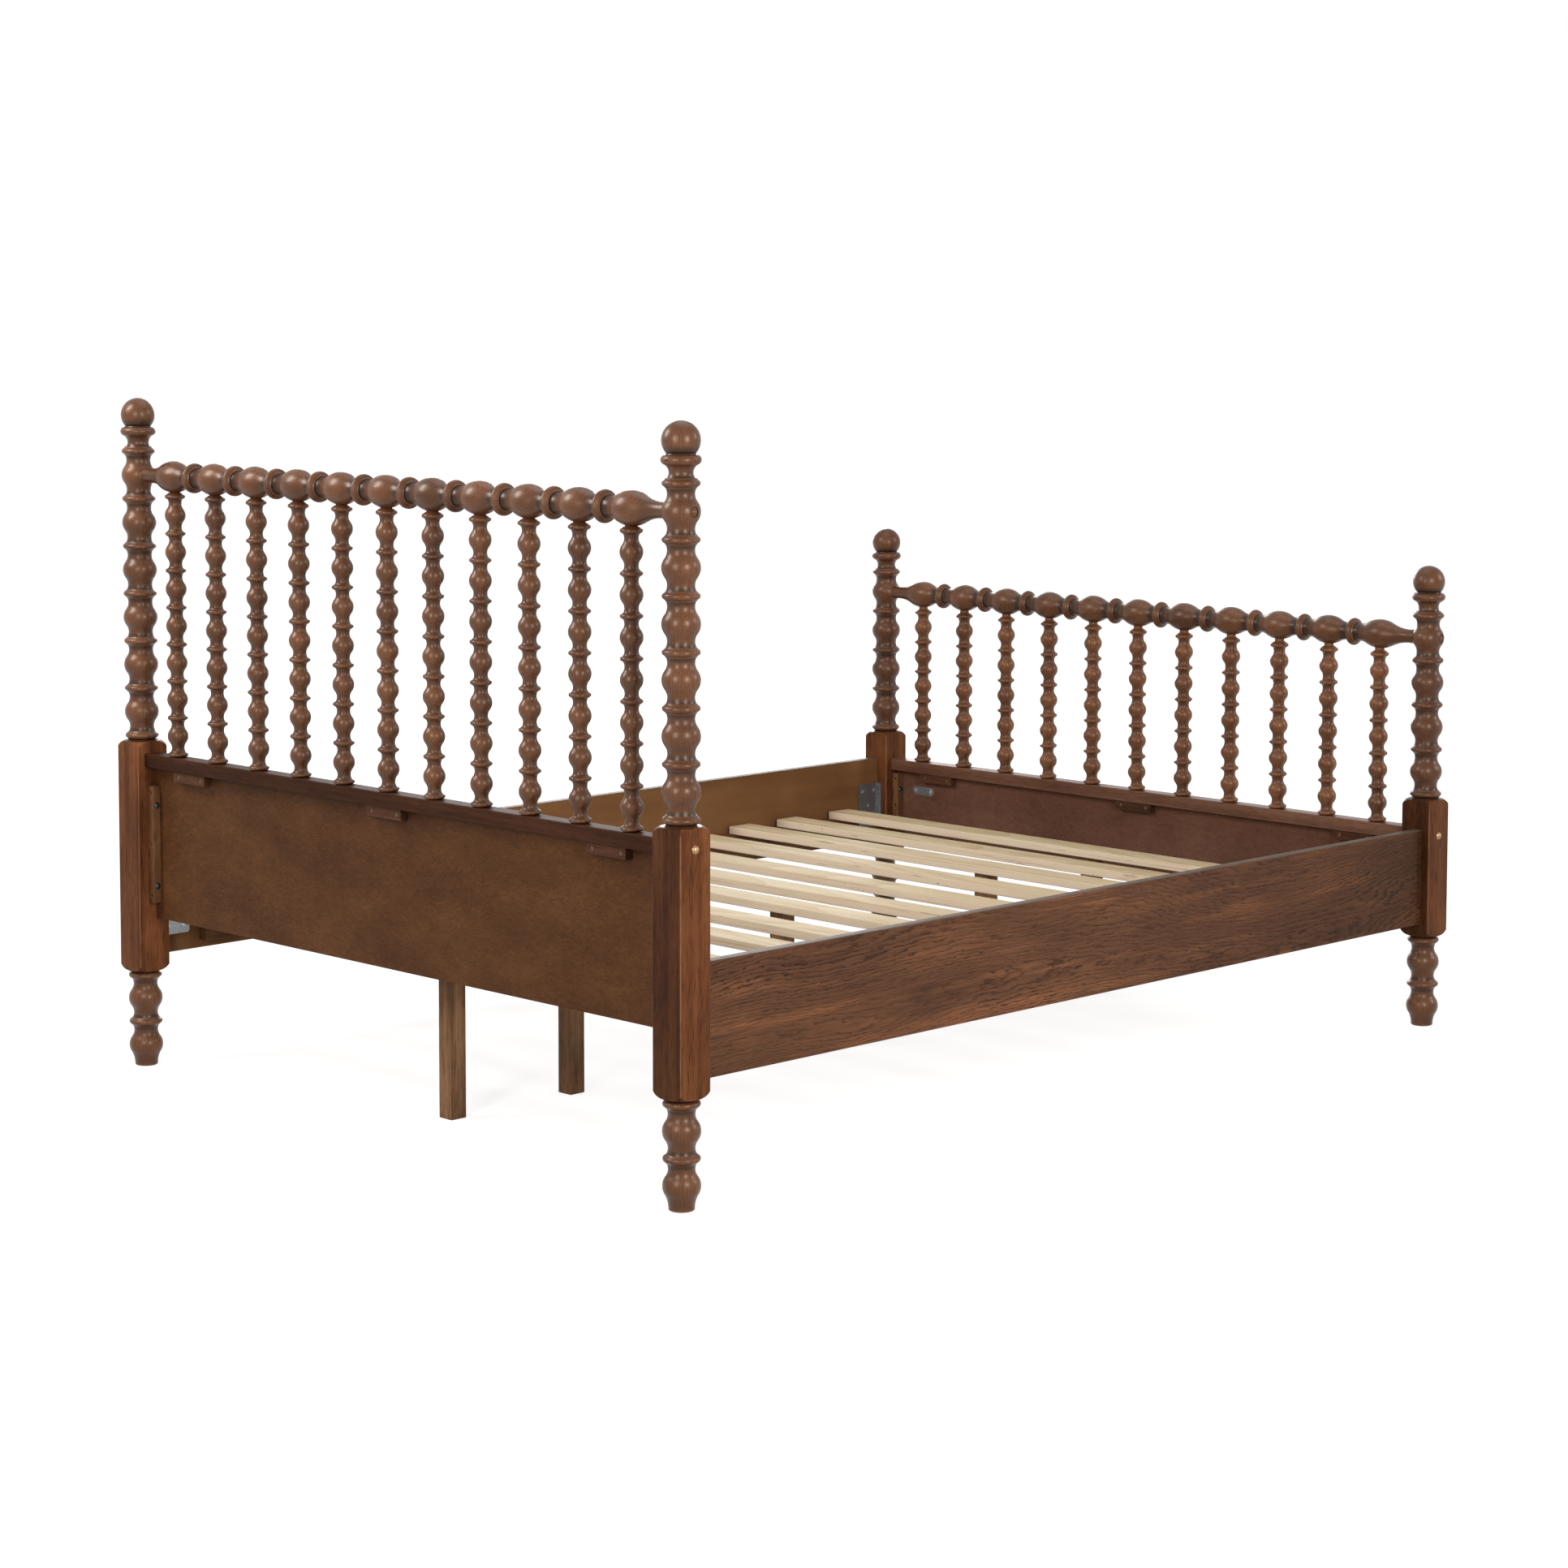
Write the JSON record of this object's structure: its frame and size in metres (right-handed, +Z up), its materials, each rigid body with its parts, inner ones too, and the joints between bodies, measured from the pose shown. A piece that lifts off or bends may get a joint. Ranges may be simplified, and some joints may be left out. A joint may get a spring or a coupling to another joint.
{
  "type": "spindle bed",
  "caption": "Wooden spindle bed frame with ball-topped turned corner posts, turned top rails, bobbin spindles, low end panels, side rails with ledgers and a slatted deck on centre legs.",
  "frame": {"origin": "on the floor at the middle of the footprint", "axes": "+Y towards the head end, +Z up, +X to the right side seen from the foot end"},
  "size_m": [1.4974, 2.0134, 1.2121],
  "materials": {
    "turned_wood": "satin",
    "head_panel_wood": "satin",
    "panel_wood": "satin",
    "rail_wood": "satin",
    "slat_wood": "matte",
    "leg_wood": "matte",
    "zinc_steel": "satin",
    "black_steel": "satin",
    "brass": "satin"
  },
  "bodies": {
    "root": {"centre_leg_1": "leg_wood", "centre_leg_2": "leg_wood", "centre_leg_3": "leg_wood", "centre_leg_4": "leg_wood", "centre_leg_5": "leg_wood", "cleat_bolts": "black_steel", "glue_blocks": "turned_wood", "hook_plates": "zinc_steel", "ledger_left": "rail_wood", "ledger_right": "rail_wood", "lower_rail_foot": "turned_wood", "lower_rail_head": "turned_wood", "panel_cleats": "turned_wood", "panel_foot": "panel_wood", "panel_head": "head_panel_wood", "post_foot_left": "turned_wood", "post_foot_right": "turned_wood", "post_head_left": "turned_wood", "post_head_right": "turned_wood", "rail_bolts": "brass", "side_rail_left": "rail_wood", "side_rail_right": "rail_wood", "slat_01": "slat_wood", "slat_02": "slat_wood", "slat_03": "slat_wood", "slat_04": "slat_wood", "slat_05": "slat_wood", "slat_06": "slat_wood", "slat_07": "slat_wood", "slat_08": "slat_wood", "slat_09": "slat_wood", "slat_10": "slat_wood", "slat_11": "slat_wood", "slat_12": "slat_wood", "slot_plates": "zinc_steel", "spindle_foot_01": "turned_wood", "spindle_foot_02": "turned_wood", "spindle_foot_03": "turned_wood", "spindle_foot_04": "turned_wood", "spindle_foot_05": "turned_wood", "spindle_foot_06": "turned_wood", "spindle_foot_07": "turned_wood", "spindle_foot_08": "turned_wood", "spindle_foot_09": "turned_wood", "spindle_foot_10": "turned_wood", "spindle_foot_11": "turned_wood", "spindle_head_01": "turned_wood", "spindle_head_02": "turned_wood", "spindle_head_03": "turned_wood", "spindle_head_04": "turned_wood", "spindle_head_05": "turned_wood", "spindle_head_06": "turned_wood", "spindle_head_07": "turned_wood", "spindle_head_08": "turned_wood", "spindle_head_09": "turned_wood", "spindle_head_10": "turned_wood", "spindle_head_11": "turned_wood", "top_rail_foot": "turned_wood", "top_rail_head": "turned_wood", "wood_plugs": "turned_wood"}
  },
  "joints": []
}
